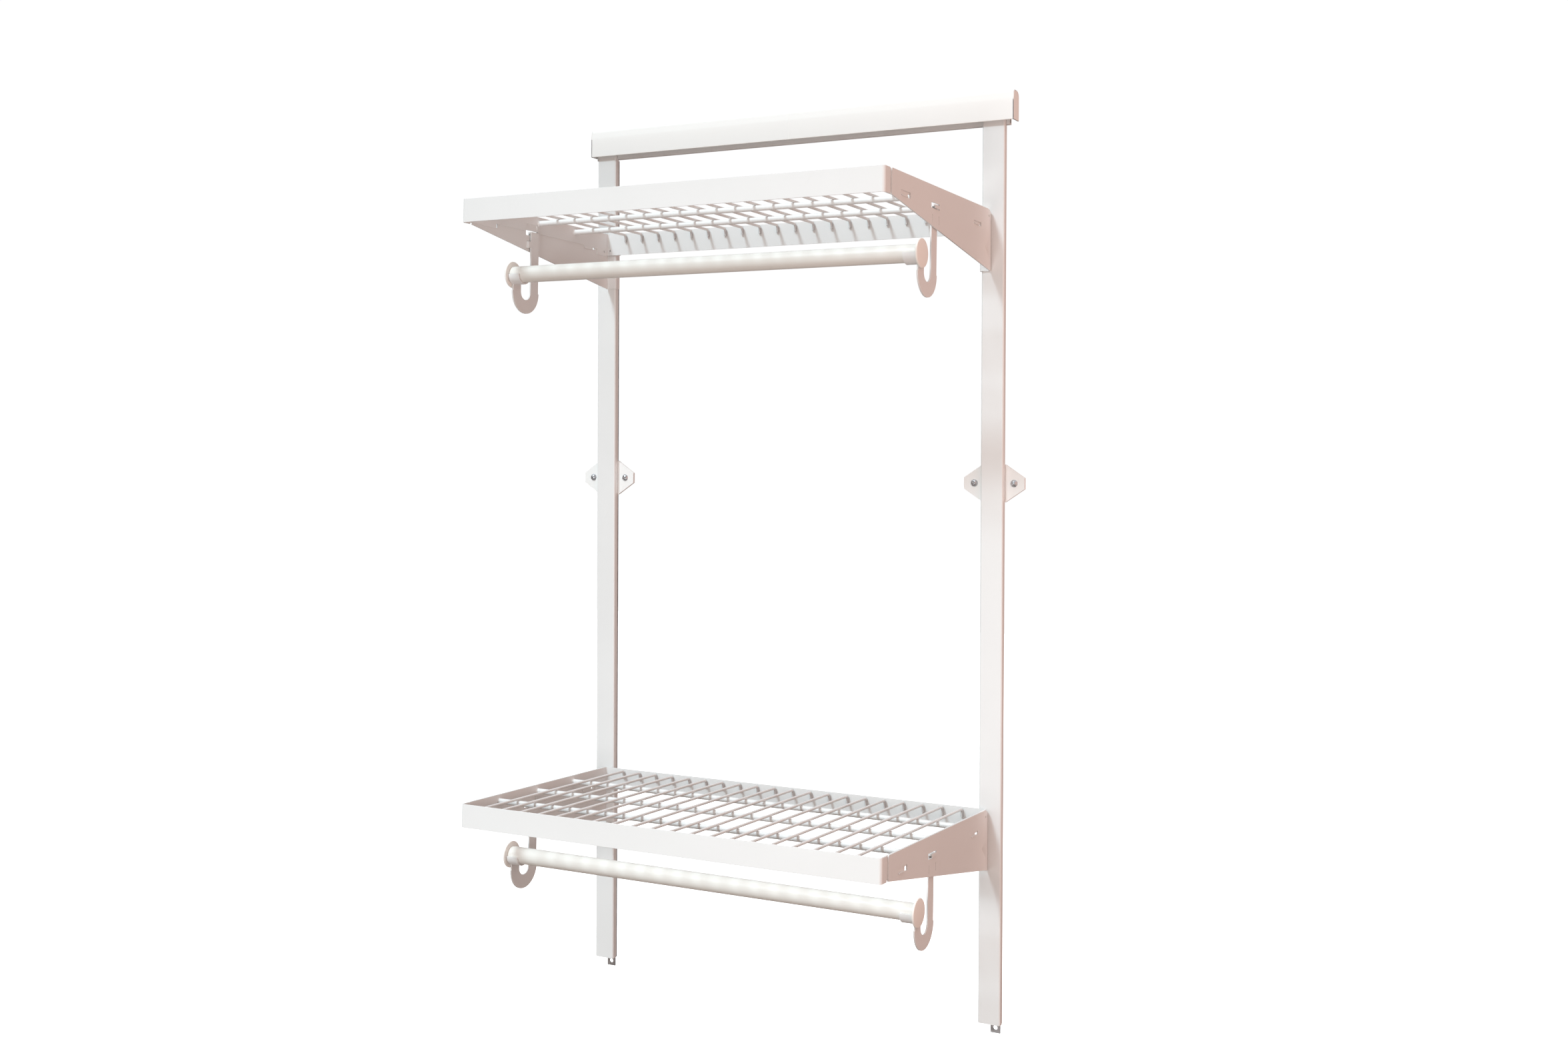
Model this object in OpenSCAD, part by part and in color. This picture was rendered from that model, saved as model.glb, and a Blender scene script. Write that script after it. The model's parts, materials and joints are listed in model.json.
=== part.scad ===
// Wall-hung wardrobe rack: a rail with two hanging uprights, two wire shelves on
// hook-in brackets, and a clothes rod below each shelf.
// Millimetres. X runs along the wall, Y = 0 is the wall and the front is -Y, Z is up.
// The origin is on the wall, at the middle of the rail's line of screw holes.

/* [Overall] */
// distance between the two upright centres
bay_w = 600; // [450:5:900]
// rail's screw line down to the top of the upper shelf, at the uprights
upper_drop = 132; // [90:1:300]
// number of upright slots between the two shelves
shelf_slots = 26; // [14:1:30]
// rail's screw line down to the foot of the upright covers
foot_drop = 1193.7; // [1100:1:1500]

/* [Uprights] */
// width of the upright over its cover
upright_w = 31; // [26:0.5:40]
// depth of the upright from the wall to the front of its cover
upright_d = 13; // [12:0.5:20]
// thickness of the upright cover
cover_t = 1.8; // [1:0.1:2.5]
// outside radius of the cover's front edges
cover_r = 2.5; // [2:0.1:4]
// gap between the cover's legs and the wall
cover_gap = 4.6; // [4:0.1:6]
// sheet thickness of the steel standard inside the cover
standard_t = 1.5; // [1:0.1:2]
// height of one slot in the standard's sides
slot_h = 18; // [15:0.5:20]
// distance from one slot to the next
slot_pitch = 30; // [26:1:40]
// width of a slot, front to back
slot_d = 2.8; // [2.4:0.1:3.2]
// width of the tab below the cover
tab_w = 13.3; // [10:0.1:20]
// length of the tab below the cover
tab_l = 13.6; // [10:0.1:20]
// radius of the screw hole in the tab
tab_hole_r = 3; // [2:0.1:3.5]
// distance of the tab from the middle of the upright, to the same side on both
tab_x = 5; // [-6:0.5:6]

/* [Rail] */
// distance that the rail runs past the middles of the uprights
rail_over = 20; // [16:0.5:60]
// sheet thickness of the rail
rail_t = 1.8; // [1.2:0.1:2.5]
// screw line up to the top of the rail
rail_up = 13; // [10:0.5:20]
// screw line down to the bottom of the rail
rail_down = 21.5; // [18:0.5:30]
// depth of the rail's hooked lip
lip_d = 7.5; // [6:0.1:9]
// height of the lip above the rail's bottom
lip_h = 11.5; // [8:0.5:14]
// distance of the outer screw holes from the middle
outer_hole_x = 250; // [200:5:280]
// distance of the inner screw holes from the middle
inner_hole_x = 90; // [40:5:150]
// radius of the screw holes
rail_hole_r = 2.75; // [2:0.05:4]

/* [Rail cover] */
// distance that the rail's cover runs past the middles of the uprights
rail_cover_over = 26.5; // [20:0.5:66]
// distance of the joint between the halves from the middle of the rail
rail_cover_mid = 3.5; // [-5:0.5:5]
// depth of the cover from the wall
rail_cover_d = 19.5; // [15:0.5:25]
// screw line up to the top of the cover
rail_cover_up = 20.5; // [18:0.5:30]
// screw line down to the bottom of the cover
rail_cover_down = 17.7; // [10:0.1:20]
// thickness of the cover
rail_cover_t = 1.5; // [1:0.1:2]
// radius of the cover's front top edge
rail_cover_r = 3; // [2:0.1:5]
// backward lean of the cover's front above the rail's lip
rail_cover_lean = 1.2; // [0:0.1:3]

/* [Wall plates] */
// screw line down to the middle of the wall plates
plate_drop = 487.5; // [400:0.5:700]
// width of a wall plate
plate_w = 84; // [70:1:110]
// height of a wall plate beside the upright
plate_h = 49; // [40:1:60]
// height of a wall plate at its ends
plate_end_h = 14.5; // [10:0.5:30]
// thickness of a wall plate
plate_t = 4; // [3:0.1:4.3]
// distance of each screw from the upright's centre
plate_screw_x = 27.5; // [25:0.5:40]
// radius of a screw head
screw_head_r = 5; // [4:0.1:6]

/* [Brackets] */
// upward cant of the shelves towards the front
cant = 1.4; // [0.5:0.1:3]
// sheet thickness of a bracket
bracket_t = 1.8; // [1.2:0.1:2.5]
// length of a bracket's arm
arm_l = 317.5; // [270:0.5:400]
// height of a bracket's front end
arm_front_h = 30; // [28:0.5:36]
// height of a bracket's rear end
arm_rear_h = 79.4; // [70:0.1:90]
// clearance between a bracket and its upright
bracket_gap = 0.3; // [0.2:0.05:0.4]

/* [Shelves] */
// sheet thickness of the shelf frame and fascia
frame_t = 1.2; // [0.8:0.1:1.6]
// height of the shelf frame's rear band
band_h = 31; // [26:0.5:36]
// depth of the shelf, from the uprights to the front of the fascia
shelf_d = 336.2; // [290:1:420]
// height of the fascia
fascia_h = 30.2; // [26:0.1:36]
// length of the fascia's side returns
fascia_return = 15.5; // [14:0.5:25]
// radius of the fascia's front corners
fascia_r = 4; // [2:0.5:6]
// radius of a cross rod
cross_rod_r = 3.6; // [3:0.1:5]
// depth of the cross rods' centres below the shelf's top
cross_rod_drop = 8.5; // [7:0.1:12]
// radius of a deck wire
wire_r = 1.8; // [1.4:0.1:2.5]
// number of deck wires
wire_count = 20; // [12:1:30]
// distance from the side of the frame to the first wire
wire_edge = 31.6; // [15:0.1:40]
// depth that the welded wires sink into the cross rods
weld_sink = 0.25; // [0.1:0.05:0.5]
// length of the wires' bent rear ends
wire_tail = 10; // [6:0.5:16]

/* [Hangers and rods] */
// sheet thickness of a rod hanger
hanger_t = 2; // [1.5:0.1:2.5]
// depth of a rod's centre below the shelf's top
rod_drop = 85.3; // [75:0.1:110]
// distance of a rod's centre from the uprights
rod_s = 227; // [215:1:235]
// radius of a rod
rod_r = 11; // [9:0.1:12]
// wall thickness of a rod
rod_t = 1.5; // [0.8:0.1:2]
// radius of a rod's end cap
cap_r = 17.8; // [15:0.1:18]
// thickness of a rod's end cap
cap_t = 4; // [2:0.1:5]

/* [Hidden] */
$fn = 64;
eps = 0.01;
// uprights: corner_room keeps the standard out of the cover's inside corners
half_bay = bay_w / 2;
rail_l = bay_w + 2 * rail_over;
rail_cover_l = half_bay + rail_cover_over;
corner_room = 0.8;
standard_w = upright_w - 2 * cover_t;
standard_d = upright_d - cover_t - corner_room;
slot_back = standard_t + 0.1;
slot_first = 12 + 2 * slot_pitch;
slot_count = floor((foot_drop - 12 - slot_first) / slot_pitch) + 1;
hook_clear = 0.3;
// the standard's notch that hangs on the rail's lip
lip_top = -rail_down + lip_h;
standard_top = lip_top + 5;
// shelf heights: the bracket hooks rest in slots 30 and 60 below the shelf's top
upper_z = -upper_drop;
lower_z = upper_z - shelf_slots * slot_pitch;
hook_drops = [slot_pitch, 2 * slot_pitch];
hook_seat = 0.2;
hook_h = 8;
// width positions of the right-hand bracket, frame and hanger
bracket_out = half_bay - 2;
bracket_in = bracket_out - bracket_t;
side_in = bracket_in - frame_t;
hanger_in = side_in - hanger_t;
fascia_out = bracket_in + frame_t;
flange_in = half_bay - upright_w / 2 - bracket_gap - bracket_t;
// distances from the uprights
band_s = bracket_gap + bracket_t + 0.3;
rod_rows = [88, 173, 259];
fascia_inner_s = shelf_d - frame_t;
// bracket openings: [nearest s, furthest s, bottom, top]
slot_rear = [36, 62, -26.5, -21.7];
slot_mid = [175.3, 201.3, -27.6, -20.6];
slot_front = [264, 291, -27.3, -20.3];
slits = [176.9, 197.4];
slit_w = 1.2;
slit_top = -35;
slit_bottom = -45;
// depth of the pressed rib in a bracket
rib_depth = 3;
// deck wires
wire_drop = cross_rod_drop - cross_rod_r - wire_r + weld_sink;
wire_x0 = -side_in + wire_edge;
wire_pitch = (2 * side_in - 2 * wire_edge) / (wire_count - 1);
// hanger outline
leg_w = 17;
leg_top = -24.6;
leg_back = 175.8;
bend_in_r = 10.7;
bend_s = leg_back + leg_w + bend_in_r;
bend_drop = 106;
saddle_t = 2;
saddle_l = 17;
seat_gap = 0.3;
spigot_gap = 0.06;

hang_rail();
rail_cover_left();
rail_cover_right();
left_standard();
right_standard();
left_upright_cover();
right_upright_cover();
left_wall_plate();
right_wall_plate();
wall_plate_screws();
upper_left_bracket();
upper_right_bracket();
upper_shelf_frame();
upper_fascia();
upper_cross_rods();
upper_deck_wires();
upper_left_hanger();
upper_right_hanger();
upper_rod();
upper_left_rod_cap();
upper_right_rod_cap();
lower_left_bracket();
lower_right_bracket();
lower_shelf_frame();
lower_fascia();
lower_cross_rods();
lower_deck_wires();
lower_left_hanger();
lower_right_hanger();
lower_rod();
lower_left_rod_cap();
lower_right_rod_cap();

// ---------------------------------------------------------------- helpers

// A box given by two opposite corners.
module block(a, b) {
    translate([a.x, a.y, a.z]) cube([b.x - a.x, b.y - a.y, b.z - a.z]);
}

// Turns a flat outline (distance from the wall or upright, height) into a sheet
// standing across X, from x0 to x1, with the distance running forward (-Y).
module across(x0, x1) {
    translate([x0, 0, 0]) mirror([0, 1, 0]) rotate([90, 0, 90])
        linear_extrude(x1 - x0) children();
}

// A box in the same terms: s is the distance forward, h the height.
module slab(x0, x1, s0, s1, h0, h1) {
    block([x0, -s1, h0], [x1, -s0, h1]);
}

// A quarter ring in the first quadrant: outside radius r, wall t.
module quarter(r, t) {
    intersection() {
        difference() {
            circle(r);
            circle(r - t);
        }
        square(r);
    }
}

// The parts on a shelf stand on the uprights' front and lean up by the cant.
module canted(z) {
    translate([0, -upright_d, z]) rotate([-cant, 0, 0]) children();
}

// Mirrors a right-hand piece to the left.
module left_hand() {
    mirror([1, 0, 0]) children();
}

// ---------------------------------------------------------------- rail

// Web on the wall, a short flange forward at the top, and a J lip at the bottom that
// the uprights hang on.
module hang_rail() {
    half = rail_l / 2;
    color("silver") difference() {
        union() {
            block([-half, -rail_t, -rail_down], [half, 0, rail_up]);
            block([-half, -6, rail_up - rail_t], [half, -rail_t, rail_up]);
            block([-half, -lip_d, -rail_down], [half, -rail_t, -rail_down + rail_t]);
            block([-half, -lip_d, -rail_down + rail_t], [half, -lip_d + rail_t, lip_top]);
        }
        for (x = [-outer_hole_x, -inner_hole_x, inner_hole_x, outer_hole_x])
            translate([x, 1, 0]) rotate([90, 0, 0]) cylinder(h = rail_t + 2, r = rail_hole_r);
    }
}

// Outline of the rail cover across X: a front that leans back in its upper part, a
// front radius, a flat top, and a larger round falling to the wall at the rail's flange.
module rail_cover_outline(inset) {
    d = rail_cover_d - inset;
    top = rail_cover_up - inset;
    back_r = rail_cover_up - rail_up - inset;
    front_r = rail_cover_r - inset;
    lean_h = 8;
    difference() {
        translate([0, -rail_cover_down]) square([d, top + rail_cover_down]);
        polygon([[d, lean_h], [d + 1, lean_h], [d + 1, top - front_r],
            [d - rail_cover_lean, top - front_r]]);
        translate([d - rail_cover_lean - front_r, top - front_r]) difference() {
            square(front_r + rail_cover_lean + 1);
            circle(front_r);
        }
        translate([rail_cover_up - rail_up, rail_up]) rotate([0, 0, 90]) difference() {
            square(rail_cover_up);
            circle(back_r);
        }
    }
}

// One half of the cover, from the joint to x; its outer end is closed.
module rail_cover(x) {
    cavity = rail_cover_d - rail_cover_t;
    end = x > 0 ? [x - rail_cover_t, x] : [x, x + rail_cover_t];
    color("white") translate([rail_cover_mid, 0, 0]) {
        across(min(x, 0), max(x, 0)) difference() {
            rail_cover_outline(0);
            rail_cover_outline(rail_cover_t);
            translate([-1, -rail_cover_down - 1])
                square([cavity - 0.5, rail_up + rail_cover_down + 1]);
            translate([0, -rail_cover_down - 1]) square([cavity, rail_cover_down + 9]);
        }
        across(end[0], end[1]) rail_cover_outline(0);
    }
}

module rail_cover_left() {
    rail_cover(-rail_cover_l);
}

module rail_cover_right() {
    rail_cover(rail_cover_l);
}

// ---------------------------------------------------------------- uprights

// Steel channel with a row of slots in both sides, a window for the wall plate,
// notches that hang on the rail's lip, and a screw tab at the foot.
module standard(foot_x) {
    x0 = half_bay - standard_w / 2;
    x1 = half_bay + standard_w / 2;
    rail_foot = -rail_down - 1.5;
    color("silver") difference() {
        union() {
            block([x0, -standard_t, -foot_drop], [x1, 0, rail_foot]);
            for (x = [x0, x1 - standard_t])
                block([x, -standard_d, -foot_drop], [x + standard_t, 0, standard_top]);
            block([half_bay + foot_x - tab_w / 2, -standard_t, -foot_drop - tab_l],
                [half_bay + foot_x + tab_w / 2, 0, -foot_drop + eps]);
        }
        // rail: web, floor and lip, with the lip's top left touching
        block([x0 - 1, -rail_t - 0.3, rail_foot], [x1 + 1, 1, standard_top + 1]);
        block([x0 - 1, -lip_d - 0.3, rail_foot], [x1 + 1, 1, -rail_down + rail_t + 0.5]);
        block([x0 - 1, -lip_d - 0.3, rail_foot], [x1 + 1, -lip_d + rail_t + 0.3, lip_top]);
        for (i = [0 : slot_count - 1]) {
            z = -slot_first - i * slot_pitch;
            if (abs(z + slot_h / 2 + plate_drop) > plate_h / 2 + slot_h / 2 + 4)
                block([x0 - 1, -slot_back - slot_d, z], [x1 + 1, -slot_back, z + slot_h]);
        }
        block([x0 - 1, -standard_t - plate_t - 0.3, -plate_drop - plate_h / 2],
            [x1 + 1, -standard_t, -plate_drop + plate_h / 2 + 0.5]);
        translate([half_bay + foot_x, 1, -foot_drop - tab_l / 2]) rotate([90, 0, 0])
            cylinder(h = standard_t + 2, r = tab_hole_r);
    }
}

module right_standard() {
    standard(tab_x);
}

module left_standard() {
    left_hand() standard(-tab_x);
}

// Snap-on channel over the standard: rounded front edges, and legs that stop short of
// the wall, shallower where they pass the rail's lip.
module right_upright_cover() {
    x0 = half_bay - upright_w / 2;
    x1 = half_bay + upright_w / 2;
    top = -8;
    foot_round = 4;
    color("white") difference() {
        union() {
            translate([0, 0, -foot_drop]) linear_extrude(foot_drop + top) {
                translate([x0 + cover_r, -upright_d]) square([upright_w - 2 * cover_r, cover_t]);
                for (side = [0, 1])
                    translate([half_bay, 0]) mirror([side, 0]) {
                        translate([upright_w / 2 - cover_r, -upright_d + cover_r])
                            rotate([0, 0, -90]) quarter(cover_r, cover_t);
                        translate([upright_w / 2 - cover_t, -upright_d + cover_r])
                            square([cover_t, upright_d - cover_r - cover_gap]);
                    }
            }
        }
        block([x0 - 1, -lip_d - 0.3, -rail_down - 0.5], [x1 + 1, 0, 0]);
        // rounded rear corners at the foot
        translate([x0 - 1, -cover_gap - foot_round, -foot_drop + foot_round]) rotate([0, 90, 0])
            difference() {
                cube([foot_round + 1, foot_round + 1, upright_w + 2]);
                translate([0, 0, -1]) cylinder(h = upright_w + 4, r = foot_round);
            }
    }
}

module left_upright_cover() {
    left_hand() right_upright_cover();
}

// ---------------------------------------------------------------- wall plates

// Flat six-sided plate that passes through the standard, with a groove across its back
// for the standard's web and a screw hole on each side.
module right_wall_plate() {
    inner = upright_w / 2 + 0.5;
    end = plate_w / 2;
    color("white") translate([half_bay, 0, -plate_drop]) difference() {
        rotate([90, 0, 0]) linear_extrude(plate_t) polygon([
            [-end, -plate_end_h / 2], [-inner, -plate_h / 2], [inner, -plate_h / 2],
            [end, -plate_end_h / 2], [end, plate_end_h / 2], [inner, plate_h / 2],
            [-inner, plate_h / 2], [-end, plate_end_h / 2]]);
        block([-standard_w / 2 - 0.2, -standard_t, -plate_h], [standard_w / 2 + 0.2, 1, plate_h]);
        for (x = [-plate_screw_x, plate_screw_x])
            translate([x, 1, 0]) rotate([90, 0, 0]) cylinder(h = plate_t + 2, r = 2.5);
    }
}

module left_wall_plate() {
    left_hand() right_wall_plate();
}

// Pan-head cross-recessed screw, its shank cut off flush with the wall.
module plate_screw(turn) {
    head_h = 3;
    dome_r = (screw_head_r * screw_head_r + head_h * head_h) / (2 * head_h);
    rotate([90, 0, 0]) difference() {
        union() {
            cylinder(h = plate_t + eps, r = 2.3);
            translate([0, 0, plate_t]) intersection() {
                cylinder(h = head_h, r = screw_head_r);
                translate([0, 0, head_h - dome_r]) sphere(dome_r, $fn = 96);
            }
        }
        for (a = [0, 90])
            rotate([0, 0, a + turn]) translate([-2.9, -0.6, plate_t + head_h - 1.9])
                cube([5.8, 1.2, 3]);
    }
}

module wall_plate_screws() {
    color("silver") for (side = [0, 1]) mirror([side, 0, 0])
        for (x = [-plate_screw_x, plate_screw_x])
            translate([half_bay + x, 0, -plate_drop]) plate_screw(20 + x);
}

// ---------------------------------------------------------------- brackets

// Distance from the uprights, in the canted frame, of the bracket's upright rear edge.
function rear_s(h) = (bracket_gap + h * sin(cant)) / cos(cant);

// Bracket arm: a tall tapering plate with three windows, two slits and a pin hole.
module bracket_arm() {
    top_bevel = 1;
    across(bracket_in, bracket_out) difference() {
        polygon([[arm_l - top_bevel, 0], [arm_l, -top_bevel], [arm_l, -arm_front_h],
            [rear_s(-arm_rear_h) + 2.6, -arm_rear_h], [rear_s(-4) + 2.6, -3], [10, 0]]);
        for (w = [slot_rear, slot_mid, slot_front])
            translate([w[0], w[2]]) square([w[1] - w[0], w[3] - w[2]]);
        for (s = slits)
            translate([s, slit_bottom]) square([slit_w, slit_top - slit_bottom]);
        translate([8.5, -8.9]) circle(1.5);
    }
}

// Wedge with a triangular face on the bracket's outside, tapering inward; grow moves its
// faces out by that much, so that two of them make a pressed shell.
module rib_wedge(x, grow, depth) {
    tip = [165, -40];
    top = [10, -39];
    low = [5.6, -64];
    mid = [14, -50];
    polyhedron([
        [x, -tip[0] - grow, tip[1]], [x, -top[0] + grow, top[1] + grow],
        [x, -low[0] + grow, low[1] - grow], [x - depth, -mid[0], mid[1]]],
        [[0, 1, 2], [1, 0, 3], [2, 1, 3], [0, 2, 3]]);
}

// Rear channel of a bracket in plan: across the upright's face and back along its side.
module bracket_channel_plan() {
    r = 2.6;
    rear = -upright_d - bracket_gap;
    translate([bracket_out - r, rear - r]) quarter(r, bracket_t);
    translate([bracket_in, rear - r - 1]) square([bracket_t, 1 + eps]);
    translate([flange_in + r, rear - bracket_t])
        square([bracket_out - flange_in - 2 * r, bracket_t]);
    translate([flange_in + r, rear - bracket_t + r]) rotate([0, 0, 180]) quarter(r, bracket_t);
    translate([flange_in, rear - bracket_t + r])
        square([bracket_t, -rear + bracket_t - r - 5.2]);
}

// Hook through the standard's slot, its nose hanging down inside.
module bracket_hook(z) {
    y0 = -slot_back - (slot_d + bracket_t) / 2;
    inside = half_bay - standard_w / 2 + standard_t + hook_clear;
    block([flange_in, -5.2 - eps, z], [flange_in + bracket_t, y0 + bracket_t, z + hook_h]);
    block([flange_in, y0, z], [inside + 2.3, y0 + bracket_t, z + hook_h]);
    block([inside, y0, z - 5], [inside + 2.3, y0 + bracket_t, z + hook_h]);
}

module right_bracket(z0) {
    color("white") difference() {
        union() {
            canted(z0) bracket_arm();
            translate([0, 0, z0 - arm_rear_h]) linear_extrude(arm_rear_h - 4)
                bracket_channel_plan();
            for (d = hook_drops) bracket_hook(z0 - d + hook_seat);
            canted(z0) rib_wedge(bracket_in + eps, 1.6, rib_depth);
        }
        canted(z0) rib_wedge(bracket_out + eps, 0, rib_depth);
    }
}

module upper_right_bracket() {
    right_bracket(upper_z);
}

module upper_left_bracket() {
    left_hand() right_bracket(upper_z);
}

module lower_right_bracket() {
    right_bracket(lower_z);
}

module lower_left_bracket() {
    left_hand() right_bracket(lower_z);
}

// ---------------------------------------------------------------- shelves

// Side plate of the shelf frame, with stepped lower edge and notches.
module side_plate_outline() {
    front = fascia_inner_s - fascia_r + frame_t - 0.2;
    polygon([[front, 0], [front, -28.6], [268, -28.6], [268, -22.5], [204, -22.5],
        [201.4, -12.2], [177.8, -12.2], [175, -22.8], [66, -22.8], [62, -27.5],
        [42.3, -27.5], [42.3, -24], [31.3, -24], [31.3, -32.5],
        [band_s + 3, -32.5], [band_s + 3, 0]]);
}

// One sheet bent in a U: a rear band between two side plates, each with two tabs turned
// out through the bracket's windows.
module shelf_frame(z0) {
    r = 3;
    color("white") canted(z0) {
        difference() {
            union() {
                slab(-bracket_in + r, bracket_in - r, band_s, band_s + frame_t, -band_h, 0);
                for (side = [0, 1]) mirror([side, 0, 0]) {
                    translate([bracket_in - r, -band_s - r, -band_h])
                        linear_extrude(band_h) quarter(r, frame_t);
                    across(side_in, bracket_in) side_plate_outline();
                    slab(side_in, bracket_out + 1.2, 44, 61, slot_rear[2], slot_rear[2] + frame_t);
                    slab(side_in, bracket_out + 1.2, 273, 289, slot_front[2],
                        slot_front[2] + frame_t);
                }
            }
            for (x = [-bracket_in + 5, bracket_in - 5])
                translate([x, -band_s - frame_t - 1, -24.4]) rotate([-90, 0, 0])
                    cylinder(h = frame_t + 2, r = 1.2);
            for (side = [0, 1]) mirror([side, 0, 0])
                across(side_in - 1, bracket_in + 1) translate([13.1, -26.4]) circle(1.6);
        }
    }
}

// Front strip with rounded corners and a return along each side.
module fascia(z0) {
    color("white") canted(z0) translate([0, 0, -fascia_h]) linear_extrude(fascia_h) {
        translate([-fascia_out + fascia_r, -shelf_d])
            square([2 * fascia_out - 2 * fascia_r, frame_t]);
        for (side = [0, 1]) mirror([side, 0]) {
            translate([fascia_out - fascia_r, -shelf_d + fascia_r])
                rotate([0, 0, -90]) quarter(fascia_r, frame_t);
            translate([fascia_out - frame_t, -shelf_d + fascia_r])
                square([frame_t, fascia_return - fascia_r]);
        }
    }
}

// Three round rods welded between the side plates.
module cross_rods(z0) {
    color("white") canted(z0) for (s = rod_rows)
        translate([-side_in, -s, -cross_rod_drop]) rotate([0, 90, 0])
            cylinder(h = 2 * side_in, r = cross_rod_r);
}

// One deck wire: straight to the fascia, its rear end bent down against the rear band.
module deck_wire() {
    bend = 3.5;
    back = band_s + frame_t + wire_r;
    translate([0, -back - bend, -wire_drop]) rotate([90, 0, 0])
        cylinder(h = fascia_inner_s - back - bend, r = wire_r);
    translate([0, -back - bend, -wire_drop - bend]) rotate([0, -90, 0])
        rotate_extrude(angle = 90) translate([bend, 0]) circle(wire_r);
    translate([0, -back, -wire_drop - wire_tail]) cylinder(h = wire_tail - bend, r = wire_r);
}

module deck_wires(z0) {
    color("white") canted(z0) for (i = [0 : wire_count - 1])
        translate([wire_x0 + i * wire_pitch, 0, 0]) deck_wire();
}

module upper_shelf_frame() {
    shelf_frame(upper_z);
}

module lower_shelf_frame() {
    shelf_frame(lower_z);
}

module upper_fascia() {
    fascia(upper_z);
}

module lower_fascia() {
    fascia(lower_z);
}

module upper_cross_rods() {
    cross_rods(upper_z);
}

module lower_cross_rods() {
    cross_rods(lower_z);
}

module upper_deck_wires() {
    deck_wires(upper_z);
}

module lower_deck_wires() {
    deck_wires(lower_z);
}

// ---------------------------------------------------------------- hangers

// Flat J outline of a rod hanger: a long rear leg, a round bend and a short front leg
// that ends at the rod's seat.
module hanger_outline() {
    outer = bend_in_r + leg_w + 1.5;
    front_leg = bend_s + bend_in_r;
    difference() {
        union() {
            translate([leg_back, -bend_drop]) square([leg_w, bend_drop + leg_top]);
            translate([bend_s, -bend_drop]) difference() {
                circle(outer);
                circle(bend_in_r);
                translate([-outer, 0]) square(2 * outer);
            }
            translate([front_leg, -bend_drop]) square([leg_w, bend_drop - rod_drop]);
            seat_ring();
        }
        translate([rod_s, -rod_drop]) circle(rod_r + seat_gap);
        translate([rod_s - 30, -rod_drop]) intersection() {
            translate([30, 0]) circle(30);
            translate([30 - rod_r - seat_gap - saddle_t - 1, 0]) square([40, 30]);
        }
    }
}

// Lower half ring that cradles the rod.
module seat_ring() {
    translate([rod_s, -rod_drop]) difference() {
        circle(rod_r + seat_gap + saddle_t);
        circle(rod_r + seat_gap);
        translate([-30, 0]) square([60, 30]);
    }
}

module right_hanger(z0) {
    lip = 2.4;
    color("white") canted(z0) {
        across(hanger_in, side_in) hanger_outline();
        across(side_in - saddle_l, side_in) seat_ring();
        // top rolled out through the frame's notch and the bracket's middle window
        slab(hanger_in, bracket_out + 1.4, leg_back + 1, leg_back + leg_w - 1,
            leg_top, leg_top + hanger_t);
        slab(bracket_out + 0.2, bracket_out + 1.4, leg_back + 1, leg_back + leg_w - 1,
            leg_top - lip, leg_top + hanger_t);
        // ears in the bracket's slits, resting on their lower ends
        for (s = slits)
            slab(side_in - eps, bracket_out - 0.2, s + 0.15, s + slit_w - 0.15,
                slit_bottom, slit_top - 1);
        slab(hanger_in, side_in, leg_back + leg_w - 1, slits[1] + slit_w - 0.15,
            slit_bottom, slit_top - 1);
    }
}

module upper_right_hanger() {
    right_hanger(upper_z);
}

module upper_left_hanger() {
    left_hand() right_hanger(upper_z);
}

module lower_right_hanger() {
    right_hanger(lower_z);
}

module lower_left_hanger() {
    left_hand() right_hanger(lower_z);
}

// ---------------------------------------------------------------- rods

tube_end = side_in + 0.3;

// Plain tube that rests in the two saddles.
module rod(z0) {
    color("white") canted(z0) translate([-tube_end, -rod_s, -rod_drop]) rotate([0, 90, 0])
        difference() {
            cylinder(h = 2 * tube_end, r = rod_r);
            translate([0, 0, -1]) cylinder(h = 2 * tube_end + 2, r = rod_r - rod_t);
        }
}

// Disc with a slightly domed face and a hollow spigot inside the tube.
module right_rod_cap(z0) {
    face = tube_end + 0.3;
    edge = 1.2;
    dome = 1.2;
    dome_r = (cap_r * cap_r + dome * dome) / (2 * dome);
    spigot_r = rod_r - rod_t - spigot_gap;
    color("white") canted(z0) translate([face, -rod_s, -rod_drop]) rotate([0, 90, 0])
        difference() {
            union() {
                cylinder(h = cap_t - dome - edge, r = cap_r);
                translate([0, 0, cap_t - dome - edge]) intersection() {
                    cylinder(h = edge + dome, r = cap_r);
                    translate([0, 0, edge + dome - dome_r]) sphere(dome_r, $fn = 128);
                }
                translate([0, 0, -14]) cylinder(h = 14 + eps, r = spigot_r);
            }
            translate([0, 0, -15]) cylinder(h = 15.5, r = spigot_r - 1.8);
        }
}

module upper_rod() {
    rod(upper_z);
}

module lower_rod() {
    rod(lower_z);
}

module upper_right_rod_cap() {
    right_rod_cap(upper_z);
}

module upper_left_rod_cap() {
    left_hand() right_rod_cap(upper_z);
}

module lower_right_rod_cap() {
    right_rod_cap(lower_z);
}

module lower_left_rod_cap() {
    left_hand() right_rod_cap(lower_z);
}
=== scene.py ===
import json
import math

import bmesh
import bpy
import numpy as np
from bpy.props import FloatProperty, FloatVectorProperty, IntProperty, PointerProperty
from bpy.types import Operator, Panel, PropertyGroup
from mathutils import Matrix, Vector

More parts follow.
